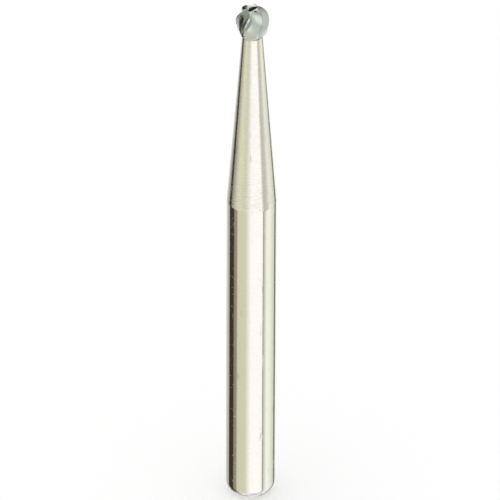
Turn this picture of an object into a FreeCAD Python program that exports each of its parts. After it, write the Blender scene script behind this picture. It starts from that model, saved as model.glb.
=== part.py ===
import FreeCAD, Part

import math
import os

import Sketcher

# Round carbide burr with a friction-grip shank: a ground steel shank that tapers to a slim
# neck, and a fluted carbide ball brazed to the neck. The axis is Z, with the tip up, and the
# origin is the centre of the shank's flat end.

os.makedirs("parts", exist_ok=True)
document = FreeCAD.newDocument("carbide_burr")

# Driving sizes in millimetres, angles in degrees and the helix in degrees per millimetre
DRIVING = {
    "total_length": 19.0,
    "shank_diameter": 1.6,
    "shank_length": 11.5,
    "end_round": 0.45,
    "neck_diameter": 0.66,
    "braze_thickness": 0.04,
    "braze_bulge": 0.008,
    "ball_diameter": 1.07,
    "flank_lean": 10,
    "heel_drop_share": 0.83,
    "heel_round": 0.06,
    "underside_height": 0.08,
    "collar_height": 0.03,
    "collar_round": 0.04,
    "blade_count": 6,
    "land_width": 0.06,
    "flute_depth": 0.21,
    "flute_arc_radius": 1.6,
    "flute_arc_tilt": 13,
    "flute_start_below": 52,
    "flute_end_short": 8,
    "back_radius": 1.6,
    "helix_rate": 39,
    "first_blade_angle": -54,
    "web_thickness": 0.07,
    "gash_depth": 0.07,
    "gash_slope": 8,
    "gash_shelf_angle": 3,
}
FLUTE_SECTIONS = 7

sheet = document.addObject("Spreadsheet::Sheet", "Sizes")
for row, (alias, value) in enumerate(DRIVING.items(), 1):
    sheet.set(f"A{row}", alias)
    sheet.set(f"B{row}", str(value))
    sheet.setAlias(f"B{row}", alias)
document.recompute()

# Sizes that follow from the driving ones, as expressions on the sheet
shank_radius = "(Sizes.shank_diameter / 2)"
neck_radius = "(Sizes.neck_diameter / 2)"
ball_radius = "(Sizes.ball_diameter / 2)"
ball_centre = f"(Sizes.total_length - {ball_radius})"
heel_drop = f"(Sizes.heel_drop_share * {ball_radius})"
heel_height = f"({ball_centre} - {heel_drop})"
collar_top = f"({heel_height} - Sizes.underside_height)"
head_foot = f"({collar_top} - Sizes.collar_height)"
neck_top = f"({head_foot} - Sizes.braze_thickness)"


def new_body(label):
    """An empty body, whose label is its node's name."""
    body = document.addObject("PartDesign::Body", label)
    body.Label = label
    return body


def origin_feature(body, role):
    """The body's own origin plane or axis with that role."""
    return next(feature for feature in body.Origin.OriginFeatures if feature.Role == role)


def new_sketch(body, name, role):
    """A sketch on one of the body's origin planes."""
    sketch = body.newObject("Sketcher::SketchObject", name)
    sketch.AttachmentSupport = [(origin_feature(body, role), "")]
    sketch.MapMode = "FlatFace"
    return sketch


def number(expression):
    """Present value of an expression on the sheet."""
    return float(sheet.evalExpression(expression))


def bind(sketch, kind, *where, size):
    """A dimension of the sketch that follows an expression on the sheet."""
    index = sketch.addConstraint(Sketcher.Constraint(kind, *where, number(size)))
    sketch.setExpression(f"Constraints[{index}]", size)


def place_point(sketch, curve, x, y):
    """Tie a curve's start to a place in the sketch, given as two expressions."""
    start, origin = (curve, 1), (-1, 1)
    for kind, size, axis in (("DistanceX", x, -2), ("DistanceY", y, -1)):
        if size == "0":
            sketch.addConstraint(Sketcher.Constraint("PointOnObject", *start, axis))
        elif number(size) < 0:
            bind(sketch, kind, *start, *origin, size=f"-({size})")
        else:
            bind(sketch, kind, *origin, *start, size=size)


def draw_outline(sketch, corners, arcs=()):
    """Closed outline through corners given as expressions. arcs holds the radius of each
    side that is an arc, by the side's number: it turns left, by less than half a turn."""
    arcs = dict(arcs)
    points = [FreeCAD.Vector(number(x), number(y), 0) for x, y in corners]
    for side, (here, there) in enumerate(zip(points, points[1:] + points[:1])):
        if side not in arcs:
            sketch.addGeometry(Part.LineSegment(here, there))
            continue
        radius = number(arcs[side])
        chord = there - here
        left = FreeCAD.Vector(-chord.y, chord.x, 0).normalize()
        hub = (here + there) / 2 + left * math.sqrt(radius ** 2 - chord.Length ** 2 / 4)
        angles = [math.atan2(point.y - hub.y, point.x - hub.x) for point in (here, there)]
        circle = Part.Circle(hub, FreeCAD.Vector(0, 0, 1), radius)
        sketch.addGeometry(Part.ArcOfCircle(circle, *angles))
    for side in range(len(points)):
        following = (side + 1) % len(points)
        sketch.addConstraint(Sketcher.Constraint("Coincident", side, 2, following, 1))
    for side, (x, y) in enumerate(corners):
        place_point(sketch, side, x, y)
    for side, radius in arcs.items():
        bind(sketch, "Radius", side, size=radius)


def turn_profile(body, name, corners, arcs=()):
    """Solid turned about the part's axis from a profile of radius and height."""
    sketch = new_sketch(body, f"{name}Profile", "XZ_Plane")
    draw_outline(sketch, corners, arcs)
    feature = body.newObject("PartDesign::Revolution", name)
    feature.Profile = sketch
    feature.ReferenceAxis = (sketch, ["V_Axis"])
    feature.Angle = 360
    document.recompute()
    return feature


def round_edge(body, base, name, edge_radius, edge_height, radius):
    """Fillet on the circular edge that lies at that radius and height."""
    for index, edge in enumerate(base.Shape.Edges, 1):
        if edge.Degenerated or not isinstance(edge.Curve, Part.Circle):
            continue
        circle = edge.Curve
        off_radius = abs(circle.Radius - number(edge_radius))
        off_height = abs(circle.Center.z - number(edge_height))
        if max(off_radius, off_height) < 1e-4:
            break
    else:
        raise RuntimeError(f"{name} finds no edge to round")
    fillet = body.newObject("PartDesign::Fillet", name)
    fillet.Base = (base, [f"Edge{index}"])
    fillet.setExpression("Radius", radius)
    document.recompute()
    return fillet


def repeat_round_axis(body, feature, name, copies):
    """The feature repeated evenly round the part's axis."""
    pattern = body.newObject("PartDesign::PolarPattern", name)
    pattern.Originals = [feature]
    pattern.Axis = (origin_feature(body, "Z_Axis"), [""])
    pattern.Angle = 360
    pattern.setExpression("Occurrences", copies)
    body.Tip = pattern
    document.recompute()
    return pattern


# Steel shank: one turned piece, a cylinder with a rounded end that takes the chuck, and a
# long straight taper down to the neck
steel_shank = new_body("steel_shank")
turned = turn_profile(steel_shank, "TurnedShank", [
    ("0", "0"),
    (shank_radius, "0"),
    (shank_radius, "Sizes.shank_length"),
    (neck_radius, neck_top),
    ("0", neck_top),
])
round_edge(steel_shank, turned, "RoundedEnd", shank_radius, "0",
           f"min(Sizes.end_round; 0.95 * {shank_radius}; 0.95 * Sizes.shank_length)")

# Braze joint: the thin disc of solder between neck and head, whose rim stands a little proud
braze_joint = new_body("braze_joint")
rim_radius = "((Sizes.braze_thickness^2 / 4 + Sizes.braze_bulge^2) / (2 * Sizes.braze_bulge))"
turn_profile(braze_joint, "BrazeDisc", [
    ("0", neck_top),
    (neck_radius, neck_top),
    (neck_radius, head_foot),
    ("0", head_foot),
], {1: rim_radius})

# Carbide head: the blank is a ball whose flank leans in to a rounded heel, with an underside
# that slopes down from the heel to a short collar. The heel's round keeps to the underside,
# and the collar's to the collar.
carbide_head = new_body("carbide_head")
heel_radius = f"({ball_radius} / cos(Sizes.flank_lean) - {heel_drop} * tan(Sizes.flank_lean))"
underside_width = f"({heel_radius} - {neck_radius})"
underside_slope = f"atan(Sizes.underside_height / {underside_width})"
heel_round = f"min(Sizes.heel_round; 0.5 * {underside_width})"
heel_setback = (f"({heel_round}"
                f" * tan(((90 - Sizes.flank_lean) * 1 deg - {underside_slope}) / 2))")
blank = turn_profile(carbide_head, "HeadBlank", [
    ("0", head_foot),
    (neck_radius, head_foot),
    (neck_radius, collar_top),
    (f"{heel_radius} - {heel_setback} * cos({underside_slope})",
     f"{heel_height} - {heel_setback} * sin({underside_slope})"),
    (f"{heel_radius} + {heel_setback} * sin(Sizes.flank_lean)",
     f"{heel_height} + {heel_setback} * cos(Sizes.flank_lean)"),
    (f"{ball_radius} * cos(Sizes.flank_lean)",
     f"{ball_centre} - {ball_radius} * sin(Sizes.flank_lean)"),
    ("0", "Sizes.total_length"),
], {3: heel_round, 5: ball_radius})
blended = round_edge(carbide_head, blank, "CollarRound", neck_radius, collar_top,
                     f"min(Sizes.collar_round; 0.4 * {underside_width};"
                     f" 0.9 * Sizes.collar_height / tan((90 deg - {underside_slope}) / 2))")

# Flutes: the grinding wheel leaves each floor as an arc in the ball's side view, deepest a
# little above the middle. A section stands square to the ball at each of several latitudes
# and turns with the helix. Its front is the blade's radial rake face, and its back rises in
# a slight curve to the outer edge of the next blade's land, on the ball and on its flank.
cutter_reach = f"(1.6 * {ball_radius})"
arc_hub = f"(Sizes.flute_arc_radius - {ball_radius} + Sizes.flute_depth)"


def flute_section(step):
    """Section of the first flute, from the neck's side at step 0 to the tip's at the last."""
    share = step / (FLUTE_SECTIONS - 1)
    latitude = (f"({share} * (90 - Sizes.flute_end_short)"
                f" - {1 - share} * Sizes.flute_start_below)")
    lean = f"({latitude} - Sizes.flute_arc_tilt)"
    floor = (f"(sqrt(Sizes.flute_arc_radius^2 - ({arc_hub} * sin({lean}))^2)"
             f" - {arc_hub} * cos({lean}))")
    brim = (f"(max({ball_radius} / cos(max(0; -({latitude}) - Sizes.flank_lean));"
            f" {floor}))")
    rake = f"(atan(tan(180 / Sizes.blade_count) * cos({latitude})))"
    back = f"({rake} - Sizes.land_width / {ball_radius} * cos({latitude}) * 1 rad)"
    heading = (f"(Sizes.first_blade_angle + 180 / Sizes.blade_count"
               f" + Sizes.helix_rate * {ball_radius} * sin({latitude}))")
    chord = f"sqrt({floor}^2 + {brim}^2 - 2 * {floor} * {brim} * cos({rake} + {back}))"

    sketch = new_sketch(carbide_head, f"FluteSection{step}", "YZ_Plane")
    sketch.setExpression("AttachmentOffset", f"placement(vector(0; {ball_centre}; 0);"
                         f" rotation(0; {heading}; 90 - {latitude}))")
    draw_outline(sketch, [
        (f"-{floor} * sin({rake})", f"{floor} * cos({rake})"),
        (f"-{cutter_reach} * sin({rake})", f"{cutter_reach} * cos({rake})"),
        (f"{cutter_reach} * sin({back})", f"{cutter_reach} * cos({back})"),
        (f"{brim} * sin({back})", f"{brim} * cos({back})"),
    ], {3: f"max(Sizes.back_radius; 0.6 * {chord})"})
    return sketch


sections = [flute_section(step) for step in range(FLUTE_SECTIONS)]
document.recompute()
flute = carbide_head.newObject("PartDesign::SubtractiveLoft", "Flute")
flute.Profile = sections[0]
flute.Sections = sections[1:]
document.recompute()
flutes = repeat_round_axis(carbide_head, flute, "Flutes", "Sizes.blade_count")

# Tip gashes: a sloping cut on each side of the web that joins two opposite blades across
# the axis, so that the burr cuts at its very tip
gash_heading = (f"(Sizes.first_blade_angle + 360 / Sizes.blade_count"
                f" + Sizes.helix_rate * {ball_radius})")
gash_floor = f"(({ball_radius} - Sizes.gash_depth) * cos(Sizes.gash_slope))"
gash_wall = "(Sizes.web_thickness / 2)"
gash_shelf = f"({gash_floor} + ({cutter_reach} - {gash_wall}) * tan(Sizes.gash_shelf_angle))"
gash_section = new_sketch(carbide_head, "GashSection", "YZ_Plane")
gash_section.setExpression("AttachmentOffset", f"placement(vector(0; {ball_centre}; 0);"
                           f" rotation(0; {gash_heading}; Sizes.gash_slope))")
draw_outline(gash_section, [
    (gash_wall, gash_floor),
    (cutter_reach, gash_shelf),
    (cutter_reach, cutter_reach),
    (gash_wall, cutter_reach),
])
document.recompute()
gash = carbide_head.newObject("PartDesign::Pocket", "Gash")
gash.Profile = gash_section
gash.SideType = "Symmetric"
gash.setExpression("Length", "4 * Sizes.ball_diameter")
document.recompute()
gashes = repeat_round_axis(carbide_head, gash, "Gashes", "2")

# Every object is sound, and every cut has taken something away, before a file is written
faults = [item.Name for item in document.Objects if {"Invalid", "Error"} & set(item.State)]
if faults:
    raise RuntimeError(f"failed objects: {faults}")
for before, after in ((blended, flute), (flute, flutes), (flutes, gash), (gash, gashes)):
    if after.Shape.Volume >= before.Shape.Volume:
        raise RuntimeError(f"{after.Name} cuts nothing")
for body in (steel_shank, braze_joint, carbide_head):
    if body.Shape.isNull() or not body.Shape.isValid():
        raise RuntimeError(f"{body.Label} has no valid shape")
    print(body.Label, len(body.Shape.Solids), "solid,", round(body.Shape.Volume, 4), "cubic mm")
    body.Shape.exportStep(f"parts/{body.Label}.step")
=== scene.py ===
import math

import bmesh
import bpy
from mathutils import Matrix, Vector


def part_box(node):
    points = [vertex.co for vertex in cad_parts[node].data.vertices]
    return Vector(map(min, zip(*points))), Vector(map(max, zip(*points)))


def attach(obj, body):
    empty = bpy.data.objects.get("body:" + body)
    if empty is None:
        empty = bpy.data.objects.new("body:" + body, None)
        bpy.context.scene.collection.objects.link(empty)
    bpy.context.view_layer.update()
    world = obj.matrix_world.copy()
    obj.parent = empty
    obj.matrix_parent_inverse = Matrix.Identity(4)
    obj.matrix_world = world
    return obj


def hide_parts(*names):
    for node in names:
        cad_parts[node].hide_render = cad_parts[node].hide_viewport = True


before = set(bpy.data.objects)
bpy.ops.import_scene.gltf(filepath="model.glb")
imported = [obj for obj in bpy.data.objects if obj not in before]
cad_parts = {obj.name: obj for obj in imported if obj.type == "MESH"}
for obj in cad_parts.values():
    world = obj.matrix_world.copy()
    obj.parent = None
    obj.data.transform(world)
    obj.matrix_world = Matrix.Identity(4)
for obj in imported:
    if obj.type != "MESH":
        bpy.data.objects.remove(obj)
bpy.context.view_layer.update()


# Steel shank: one piece of stainless rod, turned to a straight cylinder with a rounded end and
# a long taper, then ground round and polished. The wheel's fine rings stay on the taper, and
# the straight part that the chuck grips has only faint handling scratches.
SHANK_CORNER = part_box("steel_shank")[1]
SHANK_RADIUS = SHANK_CORNER.x
NECK_TOP = SHANK_CORNER.z
STRAIGHT_LENGTH = 11.5e-3
END_ROUND = 0.45e-3
NECK_RADIUS = 0.33e-3
END_ROUND_STEPS = 12
STEPS_ROUND = 144
SAME_POINT = 1e-8
SHANK_CREASE = 2.0

# The wheel's marks on the taper: strongest just above the shoulder, and faint further up
SHOULDER_BLUR = 0.05e-3
MARKS_FULL_BELOW = STRAIGHT_LENGTH + 0.2e-3
MARKS_FAINT_ABOVE = STRAIGHT_LENGTH + 1.6e-3

STEEL = (0.84, 0.84, 0.79, 1)
PALE_STEEL = (0.90, 0.88, 0.86, 1)
SCRATCHED_STEEL = (0.55, 0.54, 0.50, 1)
DASHED_STEEL = (0.52, 0.51, 0.42, 1)
STEEL_RELIEF = 1.2e-6


def arc_on(mesh, point, centre, angle, steps):
    """Carry a profile's last vertex on along an arc in the XZ plane, and return its end."""
    made = bmesh.ops.spin(mesh, geom=[point], cent=centre, axis=(0, 1, 0), angle=angle,
                          steps=steps, use_merge=False)
    return next(part for part in made["geom_last"] if isinstance(part, bmesh.types.BMVert))


def line_to(mesh, point, radius, height):
    """Carry a profile's last vertex on to a radius and height, and return its end."""
    made = bmesh.ops.extrude_vert_indiv(mesh, verts=[point])
    made["verts"][0].co = (radius, 0, height)
    return made["verts"][0]


def turn_round(mesh):
    """Spin the profile in the mesh once round the Z axis into a closed solid."""
    bmesh.ops.spin(mesh, geom=mesh.verts[:] + mesh.edges[:], cent=(0, 0, 0), axis=(0, 0, 1),
                   angle=math.tau, steps=STEPS_ROUND, use_merge=True)
    bmesh.ops.remove_doubles(mesh, verts=mesh.verts, dist=SAME_POINT)
    bmesh.ops.recalc_face_normals(mesh, faces=mesh.faces)


def finish_piece(name, mesh, crease, material):
    """Make a piece of the mesh, smooth but for edges sharper than the crease in degrees."""
    for face in mesh.faces:
        face.smooth = True
    for edge in mesh.edges:
        edge.smooth = edge.calc_face_angle(0) < math.radians(crease)
    data = bpy.data.meshes.new(name)
    mesh.to_mesh(data)
    mesh.free()
    data.materials.append(material)
    piece = bpy.data.objects.new(name, data)
    bpy.context.scene.collection.objects.link(piece)
    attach(piece, "root")
    return piece


class Value:
    """A shader socket that Python's sums work on."""

    def __init__(self, finish, socket):
        self.finish = finish
        self.socket = socket

    def sum(self, operation, *terms):
        return self.finish.node("ShaderNodeMath", {"operation": operation},
                                dict(enumerate(terms)))

    def __add__(self, other):
        return self.sum("ADD", self, other)

    def __sub__(self, other):
        return self.sum("SUBTRACT", self, other)

    def __rsub__(self, other):
        return self.sum("SUBTRACT", other, self)

    def __mul__(self, other):
        return self.sum("MULTIPLY", self, other)

    __radd__ = __add__
    __rmul__ = __mul__


class Finish:
    """The nodes of a material or of the world."""

    def __init__(self, owner):
        owner.use_nodes = True
        self.owner = owner
        self.tree = owner.node_tree
        self.tree.nodes.clear()

    def node(self, kind, settings=None, sockets=None, output=0):
        """Add a node: its settings first, then the values or links of its sockets."""
        made = self.tree.nodes.new(kind)
        for name, setting in (settings or {}).items():
            setattr(made, name, setting)
        for name, value in (sockets or {}).items():
            if isinstance(value, Value):
                self.tree.links.new(value.socket, made.inputs[name])
            else:
                made.inputs[name].default_value = value
        return Value(self, made.outputs[output]) if made.outputs else None

    def colour_mix(self, share, first, second):
        """The first colour where share is 0, the second where it is 1."""
        return self.node("ShaderNodeMix", {"data_type": "RGBA"},
                         {0: share, 6: first, 7: second}, output=2)

    def ramp(self, value, low, high):
        """0 below low, 1 above high, and a smooth rise between them."""
        return self.node("ShaderNodeMapRange", {"interpolation_type": "SMOOTHSTEP"},
                         {"Value": value, "From Min": low, "From Max": high})

    def grain(self, stretch, detail=2.0):
        """Noise on the piece's own place, with so many lumps per metre each way."""
        place = self.node("ShaderNodeTexCoord", output="Object")
        scaled = self.node("ShaderNodeVectorMath", {"operation": "MULTIPLY"},
                           {0: place, 1: stretch})
        return self.node("ShaderNodeTexNoise", None,
                         {"Vector": scaled, "Scale": 1.0, "Detail": detail})

    def height(self):
        """Height above the shank's flat end, in metres."""
        place = self.node("ShaderNodeTexCoord", output="Object")
        return self.node("ShaderNodeSeparateXYZ", None, {0: place}, output=2)

    def metal(self, colour, roughness, relief, depth):
        """Close the material as bare metal. depth is the relief's full height in metres."""
        bump = self.node("ShaderNodeBump", None,
                         {"Strength": 1.0, "Distance": depth, "Height": relief})
        shader = self.node("ShaderNodeBsdfPrincipled", None, {
            "Base Color": colour,
            "Metallic": 1.0,
            "Roughness": roughness,
            "Normal": bump,
        })
        self.node("ShaderNodeOutputMaterial", None, {"Surface": shader})
        return self.owner


shank = bmesh.new()
point = shank.verts.new((0, 0, 0))
point = line_to(shank, point, SHANK_RADIUS - END_ROUND, 0)
point = arc_on(shank, point, (SHANK_RADIUS - END_ROUND, 0, END_ROUND), -math.pi / 2,
               END_ROUND_STEPS)
point = line_to(shank, point, SHANK_RADIUS, STRAIGHT_LENGTH)
point = line_to(shank, point, NECK_RADIUS, NECK_TOP)
point = line_to(shank, point, 0, NECK_TOP)
turn_round(shank)

steel = Finish(bpy.data.materials.new("polished_shank_steel"))
height = steel.height()
on_taper = steel.ramp(height, STRAIGHT_LENGTH - SHOULDER_BLUR, STRAIGHT_LENGTH + SHOULDER_BLUR)
by_shoulder = on_taper * steel.ramp(height, MARKS_FAINT_ABOVE, MARKS_FULL_BELOW)
wheel_rings = steel.grain((6500, 6500, 15000))
waves = steel.grain((1500, 1500, 450))
dashes = steel.ramp(steel.grain((7000, 7000, 20000), 1.0), 0.44, 0.58)
scratches = steel.ramp(steel.grain((9000, 9000, 1300), 3.0), 0.64, 0.72)
specks = steel.ramp(steel.grain((17000, 17000, 17000)), 0.66, 0.72)
stain = steel.grain((900, 900, 500))
steel_colour = steel.colour_mix(stain, STEEL, PALE_STEEL)
steel_colour = steel.colour_mix(scratches * 0.35, steel_colour, SCRATCHED_STEEL)
steel_colour = steel.colour_mix(dashes * (0.04 + on_taper * 0.05 + by_shoulder * 0.11),
                                steel_colour, DASHED_STEEL)
steel_relief = (wheel_rings * (0.6 + on_taper * 0.6 + by_shoulder * 0.8) + waves * 1.6
                + scratches * 0.3 + specks * 0.3)
polished_steel = steel.metal(steel_colour, 0.08 + scratches * 0.2 + specks * 0.3,
                             steel_relief, STEEL_RELIEF)

steel_shank = finish_piece("polished_shank", shank, SHANK_CREASE, polished_steel)
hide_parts("steel_shank")


# Braze joint: the thin ring of silver solder where the head is brazed on to the neck. It stands
# a hair proud, and is duller and yellower than the metal on either side, with small pits.
RING_FOOT, RING_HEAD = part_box("braze_joint")
RING_BULGE = 0.008e-3
RIM_STEPS = 6
RING_CREASE = 30.0
DULL_SOLDER = (0.44, 0.43, 0.33, 1)
PALE_SOLDER = (0.66, 0.65, 0.53, 1)
PITTED_SOLDER = (0.10, 0.10, 0.06, 1)
SOLDER_RELIEF = 2e-6

joint = bmesh.new()
half_height = (RING_HEAD.z - RING_FOOT.z) / 2
rim_radius = (half_height ** 2 + RING_BULGE ** 2) / (2 * RING_BULGE)
rim_angle = 2 * math.asin(half_height / rim_radius)
rim_centre = (NECK_RADIUS + RING_BULGE - rim_radius, 0, RING_FOOT.z + half_height)
point = joint.verts.new((0, 0, RING_FOOT.z))
point = line_to(joint, point, NECK_RADIUS, RING_FOOT.z)
point = arc_on(joint, point, rim_centre, -rim_angle, RIM_STEPS)
point = line_to(joint, point, 0, RING_HEAD.z)
turn_round(joint)

solder = Finish(bpy.data.materials.new("silver_solder"))
pits = solder.ramp(solder.grain((11000, 11000, 14000), 3.0), 0.52, 0.62)
solder_tone = solder.grain((4000, 4000, 6000))
solder_colour = solder.colour_mix(solder_tone, DULL_SOLDER, PALE_SOLDER)
solder_colour = solder.colour_mix(pits, solder_colour, PITTED_SOLDER)
silver_solder = solder.metal(solder_colour, 0.32 + pits * 0.3, solder_tone - pits, SOLDER_RELIEF)

braze_ring = finish_piece("solder_ring", joint, RING_CREASE, silver_solder)
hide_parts("braze_joint")


# Carbide head: one blank of sintered tungsten carbide, ground to a collar and a ball. A wheel cuts
# six flutes on a right-hand helix, each with a flat rake face and a back that rises to a land, and
# two sloping gashes at the tip. Deep in the flute on the left, a dark painted shade stands in for
# the hollow's shade.
HEAD_FOOT, HEAD_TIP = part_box("carbide_head")
BALL_RADIUS = 0.535e-3
FLANK_LEAN = math.radians(10)
HEEL_DROP = 0.83 * BALL_RADIUS
HEEL_ROUND = 0.06e-3
UNDERSIDE_HEIGHT = 0.08e-3
COLLAR_ROUND = 0.04e-3
BLADES = 6
LAND_WIDTH = 0.06e-3
FLUTE_DEPTH = 0.21e-3
FLUTE_ARC_RADIUS = 1.6e-3
FLUTE_ARC_TILT = math.radians(13)
FLUTE_START = math.radians(-52)
FLUTE_END = math.radians(82)
BACK_RADIUS = 1.6e-3
HELIX_RATE = math.radians(39e3)
FIRST_BLADE = math.radians(-54)
WEB_THICKNESS = 0.07e-3
GASH_DEPTH = 0.07e-3
GASH_SLOPE = math.radians(8)
GASH_SHELF = math.radians(3)
CUTTER_REACH = 1.6 * BALL_RADIUS
BALL_CENTRE = Vector((0, 0, HEAD_TIP.z - BALL_RADIUS))
BALL_STEPS = 56
CORNER_STEPS = 8
BACK_STEPS = 6
FLUTE_SECTIONS = 25
SAME_CORNER = 1e-7
HEAD_CREASE = 24.0

# The meshes of the head are worked on a thousand times as large, so that the cuts stay exact
WORKING = 1000

GREY_CARBIDE = (0.47, 0.50, 0.48, 1)
BRIGHT_CARBIDE = (0.60, 0.63, 0.60, 1)
HEEL_CARBIDE = (0.69, 0.73, 0.74, 1)
CARBIDE_RELIEF = 0.5e-6

# Heights from the ball's centre at which the paler heel begins and is in full
HEEL_TONE_BEGINS = -0.05e-3
HEEL_TONE_FULL = -0.26e-3

# Painted shade deep in the flute on the left: a dark colour where the hollow lies in shade and
# mirrors dark. Where it begins and where it is in full: by the distance from the ball's centre, by
# the distance from the axis the way it lies, on either side, and by the height above the centre.
# The flute turns on its way down, so the first two shift with the height.
PAINTED_FLUTE_SHADE = (0.10, 0.10, 0.09, 1)
PAINTED_SHADE_WAY = (-1, -0.1, 0)
PAINTED_SHADE_DEPTH = (0.84 * BALL_RADIUS, 0.74 * BALL_RADIUS)
PAINTED_SHADE_DEPTH_SHIFT = 0.5
PAINTED_SHADE_INNER_SIDE = (0.21e-3, 0.26e-3)
PAINTED_SHADE_INNER_SHIFT = 0.27
PAINTED_SHADE_OUTER_SIDE = (0.455e-3, 0.395e-3)
PAINTED_SHADE_TOP = (0.28e-3, 0.12e-3)


def round_corner(mesh, corner, radius):
    """Round a profile's corner to a radius."""
    arms = [edge.other_vert(corner).co - corner.co for edge in corner.link_edges]
    setback = radius / math.tan(arms[0].angle(arms[1]) / 2)
    bmesh.ops.bevel(mesh, geom=[corner], offset=setback, offset_type="OFFSET",
                    segments=CORNER_STEPS, profile=0.5, affect="VERTICES", material=-1,
                    clamp_overlap=True)


def outward_frame(heading, latitude):
    """Place of a cutter's section: X round the ball, Y outwards at that spot on it."""
    across = Vector((-math.sin(heading), math.cos(heading), 0))
    outward = Vector((math.cos(heading) * math.cos(latitude),
                      math.sin(heading) * math.cos(latitude), math.sin(latitude)))
    turn = Matrix((across, outward, across.cross(outward))).transposed()
    return Matrix.Translation(BALL_CENTRE) @ turn.to_4x4()


def polar(distance, angle):
    """Point of a section by its distance from the ball's centre and its angle."""
    return Vector((distance * math.sin(angle), distance * math.cos(angle), 0))


def flute_section(mesh, latitude):
    """Edges of the flute's section at a latitude: rake face, outside and hollowed back."""
    hub = FLUTE_ARC_RADIUS - BALL_RADIUS + FLUTE_DEPTH
    lean = latitude - FLUTE_ARC_TILT
    floor = math.sqrt(FLUTE_ARC_RADIUS ** 2 - (hub * math.sin(lean)) ** 2)
    floor -= hub * math.cos(lean)
    rake = math.atan(math.tan(math.pi / BLADES) * math.cos(latitude))
    back = rake - LAND_WIDTH / BALL_RADIUS * math.cos(latitude)
    brim = max(BALL_RADIUS / math.cos(max(0, -latitude - FLANK_LEAN)), floor)
    start, end = polar(brim, back), polar(floor, -rake)
    chord = end - start
    left = Vector((-chord.y, chord.x, 0)).normalized()
    centre = (start + end) / 2 + left * math.sqrt(BACK_RADIUS ** 2 - chord.length ** 2 / 4)
    bend = 2 * math.asin(chord.length / 2 / BACK_RADIUS)

    first = mesh.verts.new(start)
    made = bmesh.ops.spin(mesh, geom=[first], cent=centre, axis=(0, 0, 1), angle=bend,
                          steps=BACK_STEPS, use_merge=False)
    last = next(part for part in made["geom_last"] if isinstance(part, bmesh.types.BMVert))
    corners = [mesh.verts.new(polar(CUTTER_REACH, -rake)),
               mesh.verts.new(polar(CUTTER_REACH, back))]
    mesh.edges.new((last, corners[0]))
    mesh.edges.new(corners)
    mesh.edges.new((corners[1], first))


def place_section(mesh, fresh, matrix):
    """Move the newest vertices of the mesh to their place on the ball."""
    mesh.verts.ensure_lookup_table()
    bmesh.ops.transform(mesh, matrix=matrix, verts=mesh.verts[fresh:])


def cutter(name, mesh, heading):
    """A working object of the mesh, turned about the burr's axis by the heading."""
    turned = mesh.copy()
    turn = Matrix.Rotation(heading, 4, "Z") @ Matrix.Scale(WORKING, 4)
    bmesh.ops.transform(turned, matrix=turn, verts=turned.verts)
    bmesh.ops.recalc_face_normals(turned, faces=turned.faces)
    data = bpy.data.meshes.new(name)
    turned.to_mesh(data)
    turned.free()
    made = bpy.data.objects.new(name, data)
    bpy.context.scene.collection.objects.link(made)
    return made


# Blank: ball, a flank that leans in from it to a rounded heel, and a short collar
blank = bmesh.new()
heel_radius = BALL_RADIUS / math.cos(FLANK_LEAN) - HEEL_DROP * math.tan(FLANK_LEAN)
heel_height = BALL_CENTRE.z - HEEL_DROP
point = blank.verts.new((0, 0, HEAD_TIP.z))
point = arc_on(blank, point, BALL_CENTRE, math.pi / 2 + FLANK_LEAN, BALL_STEPS)
heel = line_to(blank, point, heel_radius, heel_height)
crook = line_to(blank, heel, NECK_RADIUS, heel_height - UNDERSIDE_HEIGHT)
point = line_to(blank, crook, NECK_RADIUS, HEAD_FOOT.z)
line_to(blank, point, 0, HEAD_FOOT.z)
for corner, radius in ((heel, HEEL_ROUND), (crook, COLLAR_ROUND)):
    round_corner(blank, corner, radius)
turn_round(blank)
head = cutter("head_blank", blank, 0)

# Flute cutter: sections up the ball, bridged, and closed at both ends
flute = bmesh.new()
for step in range(FLUTE_SECTIONS):
    latitude = FLUTE_START + (FLUTE_END - FLUTE_START) * step / (FLUTE_SECTIONS - 1)
    heading = (FIRST_BLADE + math.pi / BLADES
               + HELIX_RATE * BALL_RADIUS * math.sin(latitude))
    fresh = len(flute.verts)
    flute_section(flute, latitude)
    place_section(flute, fresh, outward_frame(heading, latitude))
flute.edges.ensure_lookup_table()
per_section = len(flute.edges) // FLUTE_SECTIONS
loops = [flute.edges[at:at + per_section] for at in range(0, len(flute.edges), per_section)]
for lower, upper in zip(loops, loops[1:]):
    bmesh.ops.bridge_loops(flute, edges=lower + upper)
bmesh.ops.holes_fill(flute, edges=[edge for edge in flute.edges if edge.is_boundary])
cutters = [cutter("flute_cutter", flute, math.tau * blade / BLADES)
           for blade in range(BLADES)]

# Gash cutter: a sloping shelf beside the web that stays across the tip
gash = bmesh.new()
gash_floor = (BALL_RADIUS - GASH_DEPTH) * math.cos(GASH_SLOPE)
gash_rise = (CUTTER_REACH - WEB_THICKNESS / 2) * math.tan(GASH_SHELF)
outline = [(WEB_THICKNESS / 2, gash_floor), (CUTTER_REACH, gash_floor + gash_rise),
           (CUTTER_REACH, CUTTER_REACH), (WEB_THICKNESS / 2, CUTTER_REACH)]
shelf = gash.faces.new([gash.verts.new((x, y, -2 * CUTTER_REACH)) for x, y in outline])
raised = bmesh.ops.extrude_face_region(gash, geom=[shelf], use_keep_orig=True)
bmesh.ops.translate(gash, vec=(0, 0, 4 * CUTTER_REACH),
                    verts=[part for part in raised["geom"] if isinstance(part, bmesh.types.BMVert)])
gash_heading = FIRST_BLADE + math.tau / BLADES + HELIX_RATE * BALL_RADIUS
place_section(gash, 0, outward_frame(gash_heading, math.pi / 2 - GASH_SLOPE))
cutters += [cutter("gash_cutter", gash, side) for side in (0, math.pi)]

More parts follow.
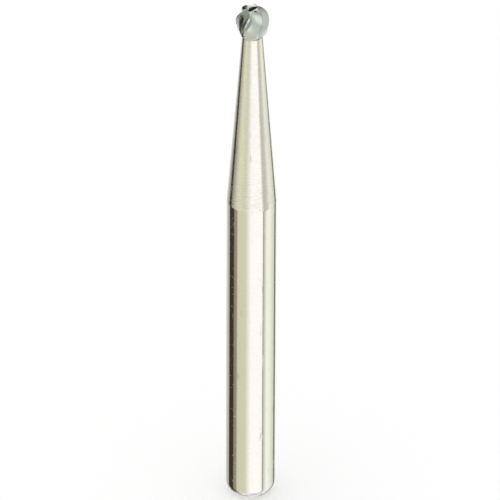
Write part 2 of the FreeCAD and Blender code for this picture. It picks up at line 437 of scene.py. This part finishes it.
for tool in cutters:
    cut = head.modifiers.new(tool.name, "BOOLEAN")
    cut.operation = "DIFFERENCE"
    cut.solver = "EXACT"
    cut.object = tool
bpy.context.view_layer.update()
ground = bmesh.new()
ground.from_object(head, bpy.context.evaluated_depsgraph_get())
for tool in cutters + [head]:
    bpy.data.objects.remove(tool)
for used in (blank, flute, gash):
    used.free()
bmesh.ops.scale(ground, vec=(1 / WORKING,) * 3, verts=ground.verts)
bmesh.ops.remove_doubles(ground, verts=ground.verts, dist=SAME_CORNER)
bmesh.ops.dissolve_degenerate(ground, edges=ground.edges, dist=SAME_CORNER)

carbide = Finish(bpy.data.materials.new("ground_carbide"))
wheel_lines = carbide.grain((9000, 9000, 30000), 3.0)
carbide_tone = carbide.grain((2500, 2500, 1800))
above_centre = carbide.height() - BALL_CENTRE.z
by_heel = carbide.ramp(above_centre, HEEL_TONE_BEGINS, HEEL_TONE_FULL)
place = carbide.node("ShaderNodeTexCoord", output="Object")
spoke = carbide.node("ShaderNodeVectorMath", {"operation": "SUBTRACT"}, {0: place, 1: BALL_CENTRE})
reach = carbide.node("ShaderNodeVectorMath", {"operation": "LENGTH"}, {0: spoke}, output=1)
aside = carbide.node("ShaderNodeVectorMath", {"operation": "DOT_PRODUCT"},
                     {0: spoke, 1: PAINTED_SHADE_WAY}, output=1)
# Painted shade in the left flute's hollow: where it darkens the colour and roughens the metal a
# little
flute_painted_shade = (carbide.ramp(reach + above_centre * PAINTED_SHADE_DEPTH_SHIFT, *PAINTED_SHADE_DEPTH)
           * carbide.ramp(aside + above_centre * PAINTED_SHADE_INNER_SHIFT, *PAINTED_SHADE_INNER_SIDE)
           * carbide.ramp(aside, *PAINTED_SHADE_OUTER_SIDE)
           * carbide.ramp(above_centre, *PAINTED_SHADE_TOP))
carbide_colour = carbide.colour_mix(carbide_tone, GREY_CARBIDE, BRIGHT_CARBIDE)
carbide_colour = carbide.colour_mix(by_heel, carbide_colour, HEEL_CARBIDE)
# The left flute's deep hollow takes the dark colour of the painted shade
carbide_colour = carbide.colour_mix(flute_painted_shade, carbide_colour, PAINTED_FLUTE_SHADE)
ground_carbide = carbide.metal(carbide_colour, 0.14 + carbide_tone * 0.08 + flute_painted_shade * 0.15,
                               wheel_lines, CARBIDE_RELIEF)

carbide_head = finish_piece("fluted_head", ground, HEAD_CREASE, ground_carbide)
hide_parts("carbide_head")


# Floor: a plain white table under the burr. It shows white to the camera and keeps the burr's
# shadow, and the metal sees past it to the studio's cards.
TABLE_HALF_WIDTH = 0.6
WHITE = (1, 1, 1, 1)
TABLE_PAINT = (0.8, 0.8, 0.8, 1)
TABLE_GLOW = 0.25

table = bmesh.new()
bmesh.ops.create_grid(table, x_segments=1, y_segments=1, size=TABLE_HALF_WIDTH)
floor_data = bpy.data.meshes.new("floor")
table.to_mesh(floor_data)
table.free()
white_table = Finish(bpy.data.materials.new("white_table"))
ray = white_table.node("ShaderNodeLightPath", output="Is Camera Ray")
glossy = white_table.node("ShaderNodeLightPath", output="Is Glossy Ray")
paint = white_table.node("ShaderNodeBsdfDiffuse", None, {"Color": TABLE_PAINT})
glow = white_table.node("ShaderNodeEmission", None,
                        {"Color": WHITE, "Strength": ray * TABLE_GLOW})
lit = white_table.node("ShaderNodeAddShader", None, {0: paint, 1: glow})
clear = white_table.node("ShaderNodeBsdfTransparent")
surface = white_table.node("ShaderNodeMixShader", None, {0: glossy, 1: lit, 2: clear})
white_table.node("ShaderNodeOutputMaterial", None, {"Surface": surface})
floor_data.materials.append(white_table.owner)
floor = bpy.data.objects.new("floor", floor_data)
bpy.context.scene.collection.objects.link(floor)


# Studio: cards and white soft boxes in rings round the burr, one above the other, which only the
# metal mirrors. The straight shank mirrors the second ring, the taper the third and the head the
# rest. The lowest ring is for the faces that look down.
ROOM_LIGHT = (0.95, 0.95, 0.95, 1)
OVERHEAD_CARD = (1.05, 1.07, 0.98, 1)

studio = Finish(bpy.data.worlds.new("studio"))
bpy.context.scene.world = studio.owner
direction = studio.node("ShaderNodeTexCoord", output="Generated")
rightward, backward, upward = (
    studio.node("ShaderNodeSeparateXYZ", None, {0: direction}, output=axis) for axis in range(3))
bearing = rightward.sum("ARCTAN2", rightward, 0 - backward)


def cards(behind_left, row):
    """Colours round the burr, from behind on the left to behind on the right. Each card has
    the bearings in degrees at which it begins and is in full, and its colour."""
    colour = behind_left
    for begins, full, following in row:
        share = studio.ramp(bearing, math.radians(begins), math.radians(full))
        colour = studio.colour_mix(share, colour, following)
    return colour


low_cards = cards((0.92, 0.91, 0.90, 1), [
    (-135, -115, (0.42, 0.41, 0.40, 1)),
    (-85, -60, (0.90, 0.89, 0.90, 1)),
    (-15, 10, (0.70, 0.68, 0.71, 1)),
    (50, 75, (1.00, 0.99, 0.97, 1)),
    (105, 125, (0.45, 0.44, 0.43, 1)),
    (150, 165, (0.92, 0.91, 0.90, 1)),
])
shank_cards = cards((0.72, 0.72, 0.71, 1), [
    (-150, -132, (0.50, 0.50, 0.47, 1)),
    (-125, -119, (0.045, 0.04, 0.03, 1)),
    (-91, -85, (0.33, 0.29, 0.20, 1)),
    (-71, -66, (0.70, 0.71, 0.54, 1)),
    (-32, 4, (1.15, 1.13, 1.11, 1)),
    (52, 57, (0.38, 0.38, 0.34, 1)),
    (60, 64, (0.72, 0.73, 0.64, 1)),
    (66, 78, (1.01, 1.03, 0.92, 1)),
    (90, 122, (0.77, 0.79, 0.71, 1)),
    (129, 136, (0.17, 0.17, 0.15, 1)),
    (148, 158, (0.85, 0.86, 0.80, 1)),
])
taper_cards = cards((0.12, 0.12, 0.10, 1), [
    (-129, -122, (0.04, 0.04, 0.03, 1)),
    (-111, -98, (0.50, 0.48, 0.36, 1)),
    (-98, -64, (0.78, 0.78, 0.60, 1)),
    (-50, -38, (0.72, 0.73, 0.58, 1)),
    (-32, 4, (1.15, 1.13, 1.10, 1)),
    (44, 58, (0.62, 0.61, 0.55, 1)),
    (70, 92, (0.92, 0.93, 0.82, 1)),
    (100, 130, (0.78, 0.79, 0.70, 1)),
    (134, 166, (0.36, 0.36, 0.33, 1)),
])
middle_cards = cards((0.10, 0.10, 0.09, 1), [
    (-118, -70, (1.30, 1.38, 1.26, 1)),
    (-50, -40, (0.88, 0.95, 0.90, 1)),
    (30, 60, (0.92, 0.95, 0.90, 1)),
    (98, 116, (0.50, 0.49, 0.46, 1)),
    (134, 152, (1.02, 1.03, 0.97, 1)),
])
level_cards = cards((0.32, 0.32, 0.30, 1), [
    (-118, -95, (1.30, 1.34, 1.24, 1)),
    (-60, -48, (0.82, 0.86, 0.82, 1)),
    (-25, -10, (1.02, 1.04, 0.98, 1)),
    (20, 60, (0.88, 0.92, 0.89, 1)),
    (80, 92, (0.74, 0.73, 0.70, 1)),
    (100, 120, (0.52, 0.51, 0.47, 1)),
    (140, 160, (1.10, 1.10, 1.04, 1)),
])
high_cards = cards((1.50, 1.50, 1.38, 1), [
    (-150, -125, (1.00, 1.00, 0.92, 1)),
    (-118, -100, (1.50, 1.50, 1.38, 1)),
    (-28, -12, (0.98, 1.00, 0.92, 1)),
    (2, 25, (0.03, 0.03, 0.03, 1)),
    (62, 72, (0.92, 0.94, 0.90, 1)),
    (80, 92, (0.60, 0.58, 0.56, 1)),
    (96, 104, (0.36, 0.34, 0.32, 1)),
    (120, 150, (1.40, 1.40, 1.32, 1)),
])
top_cards = cards((0.62, 0.62, 0.56, 1), [
    (-120, -90, (0.70, 0.70, 0.65, 1)),
    (-12, 4, (0.03, 0.03, 0.03, 1)),
    (62, 72, (0.30, 0.28, 0.27, 1)),
    (98, 108, (0.80, 0.80, 0.76, 1)),
    (140, 165, (0.62, 0.62, 0.58, 1)),
])

# Each ring has the heights in degrees at which it begins and is in full
mirrored = low_cards
for begins, full, following in (
        (-60, -50, shank_cards),
        (-32.5, -28.5, taper_cards),
        (-25, -19, middle_cards),
        (-10, -2, level_cards),
        (8, 18, high_cards),
        (35, 39, top_cards),
        (54, 64, OVERHEAD_CARD)):
    share = studio.ramp(upward, math.sin(math.radians(begins)), math.sin(math.radians(full)))
    mirrored = studio.colour_mix(share, mirrored, following)
glossy = studio.node("ShaderNodeLightPath", output="Is Glossy Ray")
light = studio.colour_mix(glossy, ROOM_LIGHT, mirrored)
seen = studio.node("ShaderNodeLightPath", output="Is Camera Ray")
light = studio.colour_mix(seen, light, WHITE)
air = studio.node("ShaderNodeBackground", None, {"Color": light, "Strength": 1.0})
studio.node("ShaderNodeOutputWorld", None, {"Surface": air})


# Camera: far off with a long lens, looking down at the upright burr, and turned a hair so that the
# burr leans as it does in the photo.
LENS = 1200
SENSOR = 36
NEAREST = 0.05
FURTHEST = 20
LOOK_DOWN = math.radians(35.1)
LEAN = math.radians(0.26)
AIM = Vector((-0.045e-3, 0, 9.498e-3))
DISTANCE = 0.53704
eye = bpy.data.cameras.new("camera")
eye.lens = LENS
eye.sensor_width = SENSOR
eye.clip_start = NEAREST
eye.clip_end = FURTHEST
camera = bpy.data.objects.new("camera", eye)
bpy.context.scene.collection.objects.link(camera)
camera.matrix_world = (
    Matrix.Translation(AIM) @ Matrix.Rotation(math.pi / 2 - LOOK_DOWN, 4, "X")
    @ Matrix.Rotation(LEAN, 4, "Z") @ Matrix.Translation((0, 0, DISTANCE)))
bpy.context.scene.camera = camera
bpy.context.scene.view_settings.view_transform = "Standard"
